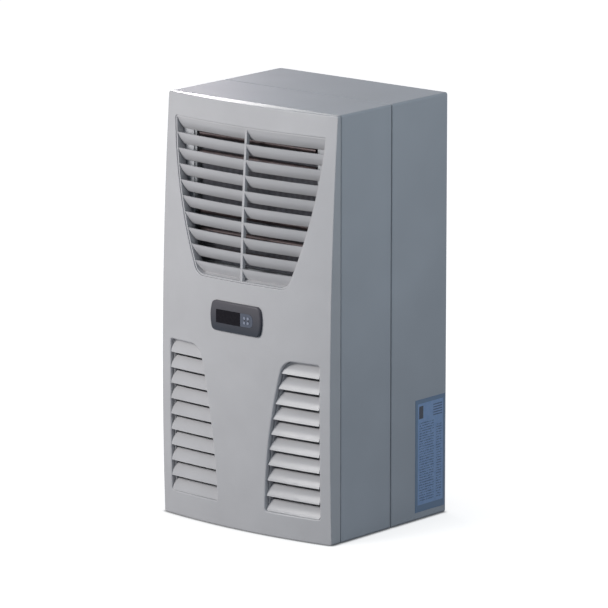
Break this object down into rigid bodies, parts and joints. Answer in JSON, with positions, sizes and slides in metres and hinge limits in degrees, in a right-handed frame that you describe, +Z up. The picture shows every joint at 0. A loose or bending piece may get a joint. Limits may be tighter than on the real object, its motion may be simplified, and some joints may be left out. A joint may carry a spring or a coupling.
{
  "type": "enclosure air conditioner",
  "caption": "Upright box-shaped air conditioner for an electrical enclosure, with a bowed front panel, slatted air outlet, side louvres and a small display.",
  "frame": {"origin": "centre of the housing's footprint, on its underside", "axes": "+X to the right seen from the front, +Y to the mounting face at the back, +Z up"},
  "size_m": [0.2803, 0.2483, 0.55],
  "materials": {
    "panel_plastic": "fine satin moulded plastic, light grey",
    "cover_paint": "light grey powder coat with a fine texture",
    "bezel_plastic": "satin dark grey plastic",
    "display_glass": "glossy dark window",
    "keypad_film": "satin grey membrane",
    "key_rubber": "matt rubber keys",
    "seam_foam": "matt black sealing strip",
    "coil_aluminium": "thin aluminium fins",
    "tube_copper": "dull copper tube",
    "zinc_steel": "galvanised sheet",
    "guard_paint": "black coated steel",
    "fan_plastic": "black glass-filled plastic",
    "insert_steel": "zinc plated steel",
    "socket_plastic": "black plastic",
    "drain_plastic": "white plastic",
    "plate_foil": "blue-grey printed foil, bare of text"
  },
  "bodies": {
    "root": {"front_panel": "panel_plastic", "upper_grille": "panel_plastic", "louvre_left": "panel_plastic", "louvre_right": "panel_plastic", "display_bezel": "bezel_plastic", "display_window": "display_glass", "display_keypad": "keypad_film", "display_keys": "key_rubber", "front_cover": "cover_paint", "seam_strip": "seam_foam", "condenser_frame": "zinc_steel", "condenser_core": "coil_aluminium", "condenser_tubes": "tube_copper", "rear_chassis": "cover_paint", "drain_spigot": "drain_plastic", "rear_plate": "zinc_steel", "fixing_inserts": "insert_steel", "inlet_guard": "guard_paint", "inlet_nozzle": "zinc_steel", "fan_motor": "guard_paint", "fan_impeller": "fan_plastic", "outlet_grille": "guard_paint", "evaporator_core": "coil_aluminium", "supply_socket": "socket_plastic", "rating_plate": "plate_foil"}
  },
  "joints": []
}
